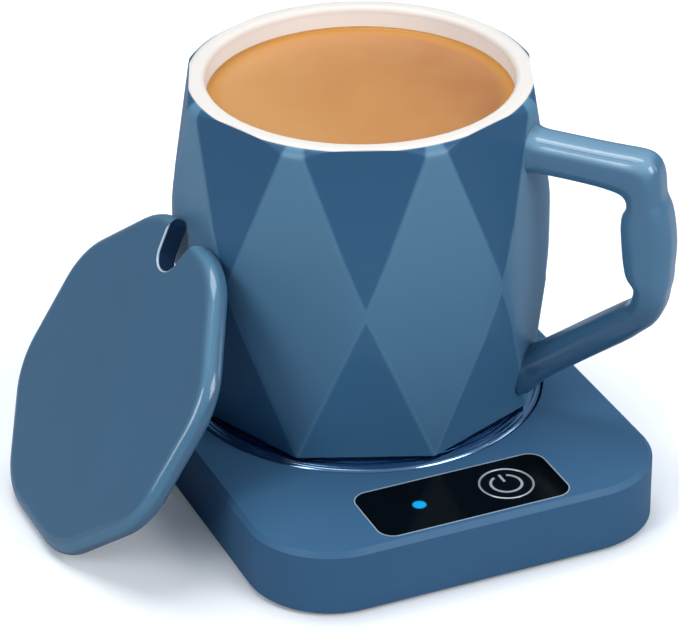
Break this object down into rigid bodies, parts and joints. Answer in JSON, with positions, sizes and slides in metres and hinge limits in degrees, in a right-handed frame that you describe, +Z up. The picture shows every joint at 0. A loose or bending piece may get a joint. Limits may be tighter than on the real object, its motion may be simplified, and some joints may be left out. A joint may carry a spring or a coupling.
{
  "type": "electric mug warmer",
  "caption": "Low electric mug warmer with a round metal hot plate, a glossy panel with power button and status light, carrying a faceted mug whose lid leans beside it.",
  "frame": {"origin": "middle of the whole set's footprint (warmer, mug handle and leaning lid), on the surface it stands on", "axes": "+Z up, -Y towards the control panel at the front, +Y towards the cord's gland at the back, +X to the right of someone facing the panel"},
  "size_m": [0.1582, 0.1332, 0.1077],
  "materials": {
    "housing_blue": "satin moulded blue",
    "cover_grey": "matt dark grey",
    "foot_rubber": "matt black",
    "screw_steel": "plated steel",
    "gland_rubber": "matt black",
    "plate_metal": "spun and polished with a dark blue coat",
    "gasket_silicone": "matt pale silicone",
    "mica": "mottled mica",
    "fibre_pad": "pressed fibre",
    "clamp_steel": "zinc-plated sheet",
    "tab_brass": "plain brass",
    "fuse_case": "drawn case",
    "bead_epoxy": "epoxy bead",
    "lead_sleeve": "red sleeve",
    "sensor_sleeve": "white sleeve",
    "board_green": "solder mask",
    "switch_black": "matt black",
    "led_cream": "cream package",
    "chip_black": "matt black",
    "capacitor_yellow": "film capacitor case",
    "terminal_green": "moulded block",
    "bezel_chrome": "bright trim",
    "panel_black": "black gloss",
    "ring_chrome": "bright ring",
    "light_cyan": "lit pale cyan",
    "button_black": "black gloss",
    "symbol_metal": "satin inlay",
    "plunger_white": "natural nylon",
    "mug_glaze": "satin blue glaze with a cream inside",
    "lid_glaze": "satin blue glaze"
  },
  "bodies": {
    "warmer_base": {"top_housing": "housing_blue", "bottom_cover": "cover_grey", "rubber_feet": "foot_rubber", "cover_screws": "screw_steel", "cord_gland": "gland_rubber", "heating_plate": "plate_metal", "plate_gasket": "gasket_silicone", "heater_element": "mica", "insulation_pad": "fibre_pad", "heater_clamp": "clamp_steel", "clamp_screws": "screw_steel", "heater_terminals": "tab_brass", "thermal_fuse": "fuse_case", "thermistor": "bead_epoxy", "heater_leads": "lead_sleeve", "sensor_lead": "sensor_sleeve", "control_board": "board_green", "board_screws": "screw_steel", "tact_switch": "switch_black", "status_led": "led_cream", "control_chip": "chip_black", "filter_capacitor": "capacitor_yellow", "power_triac": "chip_black", "cord_terminal": "terminal_green", "panel_bezel": "bezel_chrome", "panel_glass": "panel_black", "button_ring": "ring_chrome", "light_pipe": "light_cyan"},
    "power_button": {"power_button": "button_black", "power_symbol": "symbol_metal", "switch_plunger": "plunger_white"},
    "mug": {"mug": "mug_glaze"},
    "mug_lid": {"mug_lid": "lid_glaze"}
  },
  "joints": [
    {"name": "button_press", "type": "slide", "parent": "warmer_base", "child": "power_button", "axis": [0, 0, -1], "range_m": [0, 0.0004], "stiffness_N_per_m": 1500, "springref_m": -0.0004},
    {"name": "mug_lift", "type": "slide", "parent": "warmer_base", "child": "mug", "axis": [0, 0, 1], "range_m": [0, 0.12]},
    {"name": "lid_lift", "type": "slide", "parent": "warmer_base", "child": "mug_lid", "axis": [0, 0, 1], "range_m": [0, 0.1]}
  ]
}
